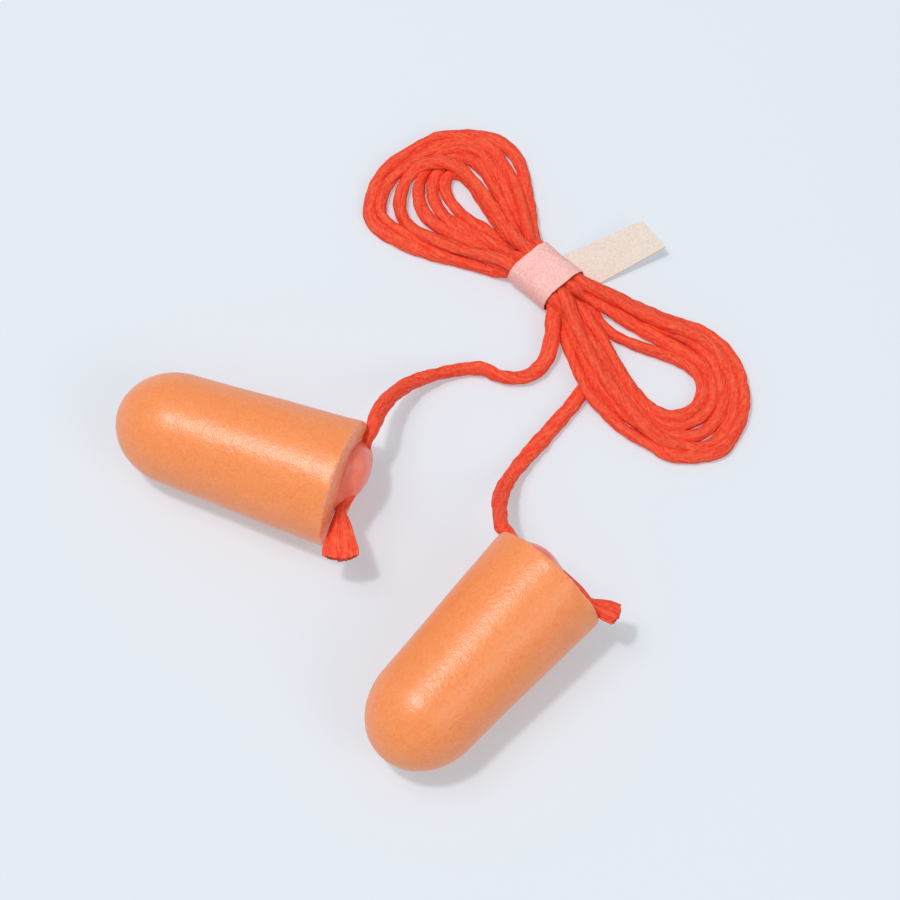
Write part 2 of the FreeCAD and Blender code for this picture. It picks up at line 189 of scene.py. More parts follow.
def colour_setting(name, description, default):
    return FloatVectorProperty(name=name, description=description, default=linear(*default),
                               size=3, min=0, max=1, subtype="COLOR")


class FoamSettings(PropertyGroup):
    """Sizes and colours of the two plugs."""

    base_radius: length_setting("Base radius", "Radius of the flat cut base", 6.57 * MM)
    shoulder_radius: length_setting("Shoulder radius", "Radius where the tip starts", 5.74 * MM)
    plug_length: length_setting("Length", "From the base to the tip's end", 24.5 * MM)
    tip_length: length_setting("Tip length", "Length of the rounded tip", 6.63 * MM)
    rim_round: length_setting("Rim rounding", "Radius of the base's edge", 0.35 * MM)
    pit_depth: length_setting("Pit depth", "Depth of the open cells in the skin", 0.1 * MM)
    skin: colour_setting("Skin", "Colour of the moulded skin", (250, 146, 82))
    # Random patches and the painted shade in the skin's pits take this colour.
    skin_patch_and_pit_shade: colour_setting("Skin, deep", "Colour in the skin's pits", (244, 122, 58))
    skin_light: colour_setting("Skin, light", "Colour of the skin's raised specks", (255, 172, 112))
    cut_face: colour_setting("Cut face", "Colour of the cut base", (255, 150, 104))
    cut_edge: colour_setting("Cut edge", "Colour of the cut cells' edges", (255, 182, 134))


class GlueSettings(PropertyGroup):
    """Sizes and colour of the drop of glue on each base."""

    half_length: length_setting("Half length", "Along the cord", 3.9 * MM)
    half_width: length_setting("Half width", "Across the cord", 3.1 * MM)
    left_height: length_setting("Left height", "Of the left drop above the foam", 1.9 * MM)
    right_height: length_setting("Right height", "Of the right drop above the foam", 1.75 * MM)
    towards_exit: length_setting("Towards exit", "From the base's middle to the drop's", 1.1 * MM)
    body: colour_setting("Glue", "Colour of the glue", (255, 142, 120))
    thin: colour_setting("Thin glue", "Colour where the cord shows through", (250, 112, 94))


class CordSettings(PropertyGroup):
    """Sizes and colours of the cord."""

    diameter: length_setting("Diameter", "Mean thickness of the cord", 1.5 * MM)
    twist_pitch: length_setting("Twist pitch", "Length of one turn of the twist", 26 * MM)
    ring_spacing: length_setting("Ring spacing", "Distance between mesh rings", 0.26 * MM)
    fibre: colour_setting("Fibre", "Colour of the fibres", (255, 82, 50))
    # Random flecks and a painted highlight on the raised fibres take this colour.
    fibre_fleck_and_highlight: colour_setting("Raised fibre", "Colour of the raised fibres", (255, 118, 76))
    # Random streaks and the painted shade in the grooves take this colour.
    fibre_streak_and_groove_shade: colour_setting("Groove", "Colour between the fibres", (240, 48, 36))


class PaperSettings(PropertyGroup):
    """Sizes and colours of the paper band and its tab."""

    band_width: length_setting("Band width", "Along the hank", 5.0 * MM)
    band_across: length_setting("Waist width", "Across the tied hank", 5.4 * MM)
    band_height: length_setting("Waist height", "Height of the tied hank", 4.6 * MM)
    thickness: length_setting("Thickness", "Of one layer of the paper", 0.12 * MM)
    band: colour_setting("Band", "Colour of the band", (252, 206, 200))
    band_fibre: colour_setting("Band fibre", "Colour of the band's fibres", (240, 140, 128))
    tab: colour_setting("Tab", "Colour of the tab", (238, 224, 212))
    tab_fleck: colour_setting("Tab fleck", "Colour of the tab's flecks", (206, 190, 180))


class StageSettings(PropertyGroup):
    """Floor, lights and camera."""

    floor: colour_setting("Floor", "Colour of the floor", (227, 234, 242))
    lens: FloatProperty(name="Lens", description="Focal length in millimetres", default=120.5,
                        min=10)
    distance: length_setting("Distance", "From the camera to the floor", 309.73 * MM)
    elevation: FloatProperty(name="Elevation", description="Camera's angle above the floor",
                             default=np.radians(69.64), subtype="ANGLE")
    key_power: strength_setting("Main light", "Power of the main light, in watts", 2.75)
    side_power: strength_setting("Side light", "Power of the light from the right, in watts", 1.1)
    gloss_power: strength_setting("Gloss light", "Power of the highlights' light, in watts", 2.1)
    fill: strength_setting("Fill", "Strength of the light from all round", 0.4)


# Shapes --------------------------------------


def unit(vectors):
    return vectors / np.linalg.norm(vectors, axis=-1, keepdims=True)


def distances(line):
    """How far along the line each of its points lies."""
    return np.concatenate([[0], np.cumsum(np.linalg.norm(np.diff(line, axis=0), axis=1))])


def full_turn(around):
    """Evenly spaced angles round a full turn."""
    return np.arange(around) * 2 * np.pi / around


def waver(distance, wavelengths, seed):
    """A smooth random wander along a length: a sum of sines of the given wavelengths with random
    starting angles, divided by the root of their number."""
    starts = np.random.default_rng(seed).uniform(0, 2 * np.pi, len(wavelengths))
    waves = np.sin(2 * np.pi * np.asarray(distance)[..., None] / np.array(wavelengths) + starts)
    return waves.sum(-1) / np.sqrt(len(wavelengths))


def waver_round(angle, counts, seed):
    """The same round a full turn, so that it closes: each sine has a whole number of waves."""
    return waver(angle, [2 * np.pi / count for count in counts], seed)


def cell_value(cells, seed):
    """A repeatable number from -1 to 1 for each whole-number cell."""
    mixed = (cells[..., 0] * 73856093) ^ (cells[..., 1] * 19349663) ^ (cells[..., 2] * 83492791)
    mixed = (mixed + seed * 7919) & 0x7FFFFFFF
    mixed = ((mixed ^ (mixed >> 13)) * 1274126177) & 0x7FFFFFFF
    mixed = ((mixed ^ (mixed >> 15)) * 1103515245) & 0x7FFFFFFF
    return (mixed >> 8) % 65536 / 32768 - 1


def relief(points, size, seed):
    """Smooth random relief from -1 to 1: the values at a cell's eight corners, blended along
    each axis by 3x squared minus 2x cubed."""
    scaled = points / size
    base = np.floor(scaled).astype(np.int64)
    part = scaled - base
    part = part * part * (3 - 2 * part)
    total = np.zeros(points.shape[:-1])
    for corner in np.ndindex(2, 2, 2):
        weight = np.prod(np.where(corner, part, 1 - part), axis=-1)
        total += weight * cell_value(base + np.array(corner), seed)
    return total


def even(line, spacing):
    """The same line with points evenly spaced along it, about that far apart."""
    gone = distances(line)
    stations = np.linspace(0, gone[-1], max(2, int(round(gone[-1] / spacing)) + 1))
    return np.stack([np.interp(stations, gone, axis) for axis in line.T], 1)


def grid_faces(rings, around):
    """Quads between neighbouring rings, and a fan of triangles to the pole at each end."""
    ring, step = np.meshgrid(np.arange(rings - 1), np.arange(around), indexing="ij")
    ahead = (step + 1) % around
    quads = np.stack([ring * around + step, ring * around + ahead,
                      (ring + 1) * around + ahead, (ring + 1) * around + step], -1)
    step = np.arange(around)
    ahead = (step + 1) % around
    last = (rings - 1) * around
    first_fan = np.stack([np.full(around, rings * around), ahead, step], 1)
    last_fan = np.stack([np.full(around, rings * around + 1), last + step, last + ahead], 1)
    return quads.reshape(-1, 4).tolist() + first_fan.tolist() + last_fan.tolist()


def new_piece(name, points, faces, body, material):
    """A smooth-shaded mesh with one material, riding on one body."""
    mesh = bpy.data.meshes.new(name)
    mesh.from_pydata(points.tolist(), [], faces)
    mesh.shade_smooth()
    mesh.update()
    piece = bpy.data.objects.new(name, mesh)
    bpy.context.scene.collection.objects.link(piece)
    mesh.materials.append(material)
    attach(piece, body)
    return piece


def closed_surface(name, grid, poles, body, material):
    """A shape given as rings of points, in metres, and the two poles that close its ends."""
    points = np.concatenate([grid.reshape(-1, 3), np.asarray(poles)])
    return new_piece(name, points, grid_faces(*grid.shape[:2]), body, material)


def add_values(piece, name, values, kind="FLOAT"):
    """Values for each point, which the materials read by name."""
    layer = piece.data.attributes.new(name, kind, "POINT")
    layer.data.foreach_set("value" if kind == "FLOAT" else "vector", values.ravel())


def plug_axes(side):
    """The middle of the flat base, the direction to the side where the cord leaves, the
    direction across it and the direction into the foam, as rows."""
    mount = MOUNTS[f"{side}_ear_canal"]
    inward = unit(np.array(mount["axis"]))
    cord_side = unit(np.cross([0, 0, 1], -inward))
    return np.array(mount["pos_m"]), np.array([cord_side, np.cross(inward, cord_side), inward])


def place_on_plug(side, local):
    middle, axes = plug_axes(side)
    return middle + local @ axes


# Cord ----------------------------------------


def through(corners, spacing, per_span=12):
    """Points on the smooth cubic that passes through every corner: between two corners it is
    led by the line joining their neighbours."""
    ends = np.concatenate([2 * corners[:1] - corners[1:2], corners,
                           2 * corners[-1:] - corners[-2:-1]])
    before, start, stop, after = ends[:-3], ends[1:-2], ends[2:-1], ends[3:]
    share = np.linspace(0, 1, per_span, endpoint=False)[None, :, None]
    before, start, stop, after = (row[:, None] for row in (before, start, stop, after))
    curve = start + 0.5 * share * (stop - before + share * (
        2 * before - 5 * start + 4 * stop - after + share * (3 * (start - stop) + after - before)))
    return even(np.concatenate([curve.reshape(-1, corners.shape[1]), corners[-1:]]), spacing)


def in_hank(rows):
    """Rows of (along, across, height) as points of the frame."""
    return rows[..., :1] * ALONG + rows[..., 1:2] * ACROSS + rows[..., 2:] * UP


def at_height(rows, height):
    """Rows of (along, across) with one height added to each."""
    return np.column_stack([rows, np.full(len(rows), height)])


def band_pass(place, towards):
    """One pass through the band, straight along it."""
    across, height = place
    return at_height([(station * towards, across) for station in BAND_STATIONS], height)


def lay_turns():
    """The hank's turns: by turns through the band, round the upper lobe, through the band and
    round the lower lobe. Gives the points in mm and which of them the band holds."""
    runs, held = [], []
    for number, (height, upper) in enumerate(UPPER_LOOPS):
        upper = through(np.array(upper[::-1]) * (-1, 1), POINT_SPACING)
        stretches = [(band_pass(ENDING_PASSES[number], -1), True),
                     (at_height(upper, height), False),
                     (band_pass(STARTING_PASSES[number], 1), True)]
        if number < len(LOWER_LOOPS):
            height, lower = LOWER_LOOPS[number]
            lower = through(np.array(lower), POINT_SPACING)
            stretches.append((at_height(lower, height), False))
        for rows, fixed in stretches:
            runs.append(in_hank(rows))
            held.append(np.full(len(rows), fixed))
    return np.concatenate(runs), np.concatenate(held)


def settle(points, held, leads, rounds=240):
    """Lets the turns sink and rest on each other. In each round a point moves away from every
    strand nearer than a strand's width, back towards its own place, and a little down; its
    shift is then evened with its neighbours' shifts, and it stays above the floor."""
    home = points.copy()
    index = np.arange(len(points))
    strangers = np.abs(index[:, None] - index) > HELD_NEIGHBOURS
    strangers = np.hstack([strangers, np.ones((len(points), len(leads)), bool)])
    free = ~held[:, None]
    room = np.where(np.arange(len(points) + len(leads)) < len(points), STRAND_GAP, LEAD_GAP)
    for _ in range(rounds):
        gap = points[:, None] - np.concatenate([points, leads])[None]
        apart = np.linalg.norm(gap, axis=2) + 1e-9
        push = np.clip(room - apart, 0, None) * strangers / apart
        move = PUSH_SHARE * (push[..., None] * gap).sum(1)
        move[:, :2] *= SIDEWAYS_SHARE
        move[:, :2] += HOME_SHARE * (home - points)[:, :2]
        move[:, 2] -= SINK
        shift = points + move * free - home
        shift[1:-1] += EVENING_SHARE * (shift[:-2] + shift[2:] - 2 * shift[1:-1])
        points = home + shift * free
        points[:, 2] = np.maximum(points[:, 2], CORD_REST_HEIGHT)
    return points


def make_line(points):
    """One smooth open spline led by the cord's points, in mm, and read back as points in m."""
    curve = bpy.data.curves.new("cord_line", "CURVE")
    curve.dimensions = "3D"
    spline = curve.splines.new("NURBS")
    spline.points.add(len(points) - 1)
    spline.points.foreach_set("co", np.column_stack([points * MM, np.ones(len(points))]).ravel())
    spline.order_u = 3
    spline.use_endpoint_u = True
    spline.resolution_u = 16
    bare = bpy.data.objects.new("cord_line", curve)
    bpy.context.scene.collection.objects.link(bare)
    mesh = bpy.data.meshes.new_from_object(bare)
    line = np.empty(len(mesh.vertices) * 3)
    mesh.vertices.foreach_get("co", line)
    bpy.data.objects.remove(bare)
    bpy.data.curves.remove(curve)
    bpy.data.meshes.remove(mesh)
    return line.reshape(-1, 3)


def round_ends(line, radius, last=True):
    """The line made longer by a radius past its first end, and past its last one if asked, and
    each point's share of the full radius: 1 along the line and a half circle's height past it."""
    step = np.sin(np.linspace(0, np.pi / 2, 8))[1:-1, None]
    share = np.sqrt(1 - step[:, 0] ** 2)
    longer = [line[:1] + step[::-1] * radius * unit(line[:1] - line[1:2]), line]
    shares = [share[::-1], np.ones(len(line))]
    if last:
        longer.append(line[-1:] + step * radius * unit(line[-1:] - line[-2:-1]))
        shares.append(share)
    return np.concatenate(longer), np.concatenate(shares)


def cord_rings(line, settings, around=36):
    """A soft twisted cord along a line. Each ring is an oval that turns slowly with the twist,
    with three low plies and finer fibre ridges that turn with it, and its size wanders."""
    line, ends = round_ends(line, settings.diameter / 2)
    ahead = unit(np.gradient(line, axis=0))
    sideways = unit(np.cross(UP, ahead))
    upward = np.cross(ahead, sideways)
    gone = distances(line)
    turn = 2 * np.pi * gone / settings.twist_pitch + 0.9 * waver(gone, (31 * MM, 12 * MM), 3)
    angle = np.broadcast_to(full_turn(around), (len(line), around))
    turned = angle - turn[:, None]
    size = settings.diameter / 2 * (1 + 0.05 * waver(gone, (7 * MM, 3.1 * MM, 1.7 * MM), 5))
    flat = 0.12 + 0.05 * waver(gone, (19 * MM, 8 * MM), 7)
    oval = 1 + flat[:, None] * np.cos(2 * (angle - 0.5 * turn[:, None]))
    plies = 0.055 * (np.abs(np.cos(1.5 * turned)) ** 0.8 - 0.55)
    drift = waver(gone, (5.3 * MM, 2.9 * MM), 9)[:, None]
    ridges = 0.034 * np.sin(7 * turned + 2.2 * drift) + 0.022 * np.sin(11 * turned - 3.1 * drift)
    from_end = np.minimum(gone, gone[-1] - gone)
    wound = np.clip((from_end - WOUND_FROM * MM) / (WOUND_OVER * MM), 0, 1)
    radius = (size * ends * (1 - WOUND_SHARE * wound))[:, None] * (oval + plies + ridges)
    rings = (line[:, None] + (radius * np.cos(angle))[..., None] * sideways[:, None]
             + (radius * np.sin(angle))[..., None] * upward[:, None])
    fibre = np.stack([np.cos(turned), np.sin(turned),
                      np.broadcast_to(gone[:, None] / (STREAK_LENGTH * MM), turned.shape)], -1)
    # Painted shade between the plies and the ridges: the deeper a point lies, the darker.
    grooves = np.clip(0.5 - (plies + ridges) / 0.11, 0, 1)
    return rings, fibre, grooves


def add_fibre(piece, fibre, grooves, order=1):
    """Each point's place in the twist, and its share of painted shade between the fibres, for the
    cord's material.
    """
    values = np.concatenate([fibre[:, ::order].reshape(-1, 3), fibre[0, :1], fibre[-1, :1]])
    add_values(piece, "fibre", values, "FLOAT_VECTOR")
    add_values(piece, "grooves", np.append(grooves[:, ::order].ravel(), [0, 0]))


class EARPLUGS_OT_cord(Operator):
    """Lay the cord from plug to plug, with its spare length wound into the hank"""

    bl_idname = "earplugs.cord"
    bl_label = "Cord"

    def execute(self, context):
        settings = context.scene.ear_plug_cord
        turns, held = lay_turns()
        routes = {side: np.array([EXITS[side] + EXIT_SHIFTS[side], *LEAD_ROUTES[side]])
                  for side in SIDES}
        leads = [make_line(np.concatenate([routes[side][FAR_POINTS:], turns[end:][:1]])) / MM
                 for side, end in (("left", 0), ("right", -1))]
        leads = np.concatenate([even(lead, POINT_SPACING) for lead in leads])
        turns = settle(turns, held, leads)
        points = np.concatenate([routes["left"], turns, routes["right"][::-1]])
        line = even(make_line(points), settings.ring_spacing)
        rings, fibre, grooves = cord_rings(line, settings)
        piece = closed_surface("cord", rings, [line[0], line[-1]], "hank",
                               cord_material(settings))
        add_fibre(piece, fibre, grooves)
        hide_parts("cord_hank", "left_lead", "right_lead")
        return {"FINISHED"}


# Foam plugs ----------------------------------


def foam_profile(settings, spacing):
    """Radius and height along the plug's outline, evenly spaced: across the base, round its
    rim, along the cone and over the half-oval tip. Also the outward direction at each point."""
    base, shoulder, rim = settings.base_radius, settings.shoulder_radius, settings.rim_round
    neck = settings.plug_length - settings.tip_length
    bend, tip = np.linspace(0, np.pi / 2, 9), np.linspace(0, np.pi / 2, 120)[1:]
    outline = np.concatenate([
        np.column_stack([[0.0], [0.0]]),
        np.column_stack([base - rim + rim * np.sin(bend), rim - rim * np.cos(bend)]),
        np.column_stack([shoulder * np.cos(tip), neck + settings.tip_length * np.sin(tip)]),
    ])
    outline = even(np.insert(outline, 1 + len(bend), [shoulder, neck], axis=0), spacing)
    along = unit(np.gradient(outline, axis=0))
    return outline, np.column_stack([along[:, 1], -along[:, 0]])


def foam_grid(settings, seed, around=288, spacing=0.14 * MM):
    """A plug in its own directions: the outline turned about the axis, then moved along its
    outward direction by slow relief, a fine grain, patches of pits, a wavering rim and, on the
    cut base, the coarser relief of the cut cells."""
    outline, outward = foam_profile(settings, spacing)
    radius, height = outline[1:-1, :1], outline[1:-1, 1:]
    aside, onward = outward[1:-1, :1], outward[1:-1, 1:]
    angle = full_turn(around)
    spoke = np.stack([np.cos(angle), np.sin(angle)], -1)[None]
    column = (len(radius), around, 1)
    points = np.concatenate([radius[..., None] * spoke,
                             np.broadcast_to(height[..., None], column)], -1)
    normals = np.concatenate([aside[..., None] * spoke,
                              np.broadcast_to(onward[..., None], column)], -1)
    cut = np.clip((0.5 * MM - height) / (0.4 * MM), 0, 1) * np.clip(-onward * 1.6 + 0.4, 0, 1)
    cut = np.broadcast_to(cut, points.shape[:2])
    slow = relief(points, 6.5 * MM, seed) + 0.5 * relief(points, 3 * MM, seed + 1)
    grain = relief(points, 0.34 * MM, seed + 2)
    patches = relief(points, 3.6 * MM, seed + 3) + 0.5 * relief(points, 1.3 * MM, seed + 4)
    patches = np.clip(patches, 0, 1)
    pits = np.clip(relief(points, 0.3 * MM, seed + 5) - 0.45, 0, 1) * (0.15 + patches)
    cells = relief(points, 0.43 * MM, seed + 6) + 0.7 * relief(points, 0.83 * MM, seed + 7)
    lip = np.exp(-((height - 0.5 * MM) / (0.7 * MM)) ** 2) * (radius > 0.9 * settings.base_radius)
    wobble = lip * waver_round(angle, (3, 7, 12), seed)[None]
    push = (0.04 * slow + 0.012 * grain * (1 - cut) - 0.012 + 0.022 * cells * cut
            + 0.06 * wobble) * MM
    push -= settings.pit_depth * pits * (1 - cut)
    points = points + normals * push[..., None]
    poles = np.array([points[0].mean(0), points[-1].mean(0)])
    # The last value is each pit's share of painted shade in the skin's colour.
    return points, poles, cut, np.clip(pits * 1.6, 0, 1)


class EARPLUGS_OT_foam(Operator):
    """Shape the two foam plugs, with a moulded skin and a cut base"""

    bl_idname = "earplugs.foam"
    bl_label = "Foam Plugs"

    def execute(self, context):
        settings = context.scene.ear_plug_foam
        material = foam_material(settings)
        for number, side in enumerate(SIDES):
            grid, poles, cut, pits = foam_grid(settings, 20 + 31 * number)
            grid, poles = place_on_plug(side, grid), place_on_plug(side, poles)
            grid[..., 2] = np.maximum(grid[..., 2], 0)
            piece = closed_surface(f"{side}_foam", grid, poles, f"{side}_plug", material)
            add_values(piece, "cut_face", np.append(cut.ravel(), [1, 0]))
            # The pits also get painted shade in the skin's colour, by this value.
            add_values(piece, "pits", np.append(pits.ravel(), [0, 0]))
            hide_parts(f"{side}_foam_plug")
        return {"FINISHED"}


# Glue and frayed ends ------------------------


# How far the drop's edge goes down into the foam, in mm.
GLUE_DEPTH = 0.35


def glue_grid(settings, height, seed, rings=44, around=112):
    """A drop on the base: a pointed oval in outline, domed above it and highest towards the
    cord's exit, thinning to its edge, with a low ridge where it covers the cord. Its last ring
    goes down into the foam."""
    share = np.linspace(0, 1, rings + 1)[1:, None] ** 0.9
    angle = full_turn(around)
    long_way = settings.half_length * np.cos(angle)
    wide_way = settings.half_width * np.sin(angle) * np.abs(np.sin(angle)) ** 0.6
    wide_way = wide_way * (1 + 0.2 * np.cos(angle))
    wander = 1 + 0.02 * waver_round(angle, (2, 3, 5), seed)
    x, y = share * long_way * wander, share * wide_way * wander
    dome = height * (1 - share ** 2.2) ** 0.75 * (1 + 0.22 * share * np.cos(angle))
    ridge = 0.35 * MM * np.clip(1 - np.abs(y) / (0.9 * MM), 0, 1) ** 2
    ridge = ridge * share ** 3 * (1 - share ** 12)
    grid = np.stack([x + settings.towards_exit, y, -(dome + ridge)], -1)
    skirt = at_height(grid[-1, :, :2], GLUE_DEPTH * MM)
    poles = np.array([[settings.towards_exit, 0, grid[0, :, 2].mean()],
                      [settings.towards_exit, 0, GLUE_DEPTH * MM]])
    return np.concatenate([grid, skirt[None]]), poles


class EARPLUGS_OT_glue(Operator):
    """Put the drop of glue that holds the cord on each base"""

    bl_idname = "earplugs.glue"
    bl_label = "Glue"

    def execute(self, context):
        settings = context.scene.ear_plug_glue
        material = glue_material(settings)
        for number, side in enumerate(SIDES):
            grid, poles = glue_grid(settings, getattr(settings, f"{side}_height"), 60 + number)
            piece = closed_surface(f"{side}_glue", place_on_plug(side, grid),
                                   place_on_plug(side, poles), f"{side}_plug", material)
            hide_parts(f"{side}_glue_cap")
        return {"FINISHED"}


# Where the cord starts to spread, how far it bends away from the base, its length from there
# and half the width of its cut end, in mm.
FRAYED_ENDS = {
    "left": {"neck": 2.7, "bend": 21, "length": 5.0, "half_width": 1.75},
    "right": {"neck": 4.6, "bend": 17, "length": 3.1, "half_width": 1.1},
}


def frayed_rings(side, settings, seed, around=72, spacing=0.11):
    """The cord's end in the plug's own directions: straight across the base, then bent away from
    it and spread into a flat fan. Its section is an oval with ridges that grow towards the cut,
    and the cut end is uneven: each fibre's end is drawn in or out."""
    facts = FRAYED_ENDS[side]
    bend = np.radians(facts["bend"])
    middle, axes = plug_axes(side)
    start = ((EXITS[side] + EXIT_SHIFTS[side]) * MM - middle) @ axes.T / MM
    neck = np.array([-facts["neck"], -0.6])
    away = np.array([-np.cos(bend), -np.sin(bend)])
    corners = np.array([[start[0], start[2]], [6.2, 0.45 * start[2] - 0.3], [5.0, -0.4],
                        [2.2, -0.6], [0, -0.7], neck + [1.0, -0.04], neck,
                        neck + away * 0.4 * facts["length"], neck + away * facts["length"]])
    line, ends = round_ends(through(corners, spacing), settings.diameter / 2 / MM, last=False)
    gone = distances(line)[:, None]
    fan_start = gone[-1] - facts["length"]
    spread = np.clip((gone - fan_start) / facts["length"], 0, 1)
    pinch = (np.exp(-((gone - fan_start) / 1.1) ** 2)
             + 0.7 * np.exp(-((line[:, :1] - 5.2) / 1.1) ** 2))
    ahead = unit(np.gradient(line, axis=0))
    out = np.column_stack([ahead[:, 1], -ahead[:, 0]])
    angle = full_turn(around)
    ridges = 0.6 * np.sin(7 * angle + 1.3 * seed) + 0.5 * np.sin(12 * angle + seed + 2 * spread)
    size = 1 + (0.02 + 0.06 * spread) * ridges
    radius = settings.diameter / 2 / MM
    half_out = radius * (1 - 0.3 * pinch) + (facts["half_width"] - 0.7 * radius) * spread ** 1.1
    half_out = np.minimum(half_out, facts["half_width"])
    half_across = radius * (1 - 0.15 * pinch) * (1 - 0.45 * spread)
    wide = half_out * ends[:, None] * size * np.cos(angle)
    crease = 0.16 * spread * np.sin(3.3 * np.cos(angle) + seed)
    tall = half_across * ends[:, None] * size * np.sin(angle) + crease
    fringe = 0.07 * waver_round(angle, (27, 17, 10), seed) - 0.2 * np.cos(2 * angle)
    slide = spread ** 3 * fringe
    x = line[:, :1] + out[:, :1] * wide + ahead[:, :1] * slide
    z = line[:, 1:] + out[:, 1:] * wide + ahead[:, 1:] * slide
    grid = np.stack([x, tall, z], -1) * MM
    each = np.ones_like(gone)
    fibre = np.stack([2.1 * np.cos(angle) * each, 2.1 * np.sin(angle) * each,
                      gone / STREAK_LENGTH * np.ones(around)], -1)
    tip = grid[-1].mean(0) + 0.05 * MM * np.array([ahead[-1, 0], 0, ahead[-1, 1]])
    # Painted shade between the ridges of the frayed end.
    grooves = np.clip(0.5 - 0.9 * ridges * each, 0, 1)
    return grid, np.array([grid[0].mean(0), tip]), fibre, grooves


class EARPLUGS_OT_frayed_ends(Operator):
    """Lay the cord's ends across the bases and fray their cut tips"""

    bl_idname = "earplugs.frayed_ends"
    bl_label = "Frayed Ends"

    def execute(self, context):
        settings = context.scene.ear_plug_cord
        material = cord_material(settings, frayed=True)
        for number, side in enumerate(SIDES):
            grid, poles, fibre, grooves = frayed_rings(side, settings, 2 + number)
            piece = closed_surface(f"{side}_cord_end", place_on_plug(side, grid[:, ::-1]),
                                   place_on_plug(side, poles), f"{side}_plug", material)
            add_fibre(piece, fibre, grooves, order=-1)
            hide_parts(f"{side}_frayed_end")
        return {"FINISHED"}


# Paper ---------------------------------------

# The band is wrapped a little askew: how far along the hank it runs for each length across.
BAND_SKEW = 0.12
# The power of the band's rounded oblong section. An oval's is 2, and a higher one is squarer.
BAND_POWER = 2.7
# The tab's outline from its crease, in mm: along the crease and away from it.
TAB_CORNERS = ((-0.98, -0.35), (3.98, -0.35), (7.35, 8.4), (3.5, 9.1))
TAB_RISE = np.radians(5)


def sheet_surface(name, grid, wrapped, body, material, thickness):
    """A thin strip of paper from a grid of points, in metres, given its thickness inwards."""
    rows, columns = grid.shape[:2]
    row, column = np.meshgrid(np.arange(rows - 1), np.arange(columns - (0 if wrapped else 1)),
                              indexing="ij")
    ahead = (column + 1) % columns
    faces = np.stack([row * columns + column, row * columns + ahead,
                      (row + 1) * columns + ahead, (row + 1) * columns + column], -1)
    piece = new_piece(name, grid.reshape(-1, 3), faces.reshape(-1, 4).tolist(), body,
                      material)
    wall = piece.modifiers.new("paper thickness", "SOLIDIFY")
    wall.thickness = thickness
    wall.offset = -1
    wall.use_even_offset = True
    edges = piece.modifiers.new("cut edges", "BEVEL")
    edges.width = thickness * 0.3
    edges.segments = 2
    edges.limit_method = "ANGLE"
    return piece


def band_grid(settings, rows=48, around=160):
    """The paper round the waist: a rounded oblong section carried along the hank, pressed
    against the strands in it, with a slightly wandering edge at each end."""
    angle = full_turn(around)
    half_across, half_high = settings.band_across / 2, settings.band_height / 2
    across, high = (half * np.sign(part) * np.abs(part) ** (2 / BAND_POWER)
                    for half, part in ((half_across, np.cos(angle)), (half_high, np.sin(angle))))
    place = np.linspace(-1, 1, rows)[:, None]
    strands = 0.03 * MM * waver_round(angle, (6, 9), 71)
    tight = 1 + 0.015 * place ** 2 - 0.006 * np.cos(3 * place + 2 * angle)
    outward = unit(np.column_stack([across / half_across ** 2, high / half_high ** 2]))
    across = across * tight + outward[:, 0] * strands
    high = high * tight + outward[:, 1] * strands
    edge = 0.025 * MM * waver_round(angle, (3, 7, 13), 73)
    along = place * settings.band_width / 2 + edge * np.abs(place) ** 6 + BAND_SKEW * across
    grid = in_hank(np.stack([along, across, high + half_high], -1))
    grid[..., 2] = np.maximum(grid[..., 2], 0.02 * MM)
    return grid


def tab_grid(corners, rows=70, columns=44):
    """A four-cornered strip: the points between the corners, lifted in a slight curl towards
    its free end and a soft crease across it, with a trace of waver, and its cut end uneven."""
    forth, over = np.linspace(0, 1, rows)[:, None, None], np.linspace(0, 1, columns)[:, None]
    root = corners[0] + over * (corners[1] - corners[0])
    end = corners[3] + over * (corners[2] - corners[3])
    grid = root + forth * (end - root)
    curl = 0.8 * forth + 0.34 * forth ** 2.2 * (0.55 + 0.45 * over)
    crease = 0.06 * np.exp(-((forth - 0.62) / 0.05) ** 2)
    trace = 0.03 * waver((forth * 8 + over * 3)[..., 0], (3.1, 1.7), 75)[..., None]
    lift = (curl + crease + trace) * MM
    grid[..., 2:] += lift
    fray = 0.035 * MM * waver(over[..., 0] * 4, (0.9, 0.31, 0.17), 77)[..., None] * forth ** 12
    return grid + fray * unit(corners[3] - corners[0])


class EARPLUGS_OT_paper_band(Operator):
    """Wrap the paper band round the middle of the hank"""

    bl_idname = "earplugs.paper_band"
    bl_label = "Paper Band"

    def execute(self, context):
        settings = context.scene.ear_plug_paper
        material = paper_material("band paper", settings.band, settings.band_fibre, 0.42)
        piece = sheet_surface("paper_band_wrap", band_grid(settings), True, "hank",
                              material, settings.thickness)
        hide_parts("paper_band")
        return {"FINISHED"}


class EARPLUGS_OT_paper_tab(Operator):
    """Fold out the tab where the band's two ends are stuck face to face"""

    bl_idname = "earplugs.paper_tab"
    bl_label = "Paper Tab"

    def execute(self, context):
        settings = context.scene.ear_plug_paper
        crease = np.array(JOINTS["tab_lift"]["pos_m"])
        rise = ACROSS * np.cos(TAB_RISE) + UP * np.sin(TAB_RISE)
        corners = np.array([crease + (along * ALONG + away * rise) * MM
                            for along, away in TAB_CORNERS])
        material = paper_material("tab paper", settings.tab, settings.tab_fleck, 0.35)
        piece = sheet_surface("paper_tab_strip", tab_grid(corners), False, "tab",
                              material, 2 * settings.thickness)
        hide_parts("paper_tab")
        return {"FINISHED"}


# Materials -----------------------------------


def add_node(tree, kind, inputs=None, **settings):
    """A node with its settings; a value for an input is a number, a colour or another socket."""
    node = tree.nodes.new(kind)
    for key, value in settings.items():
        setattr(node, key, value)
    for key, value in (inputs or {}).items():
        if isinstance(value, bpy.types.NodeSocket):
            tree.links.new(value, node.inputs[key])
        else:
            node.inputs[key].default_value = value
    return node


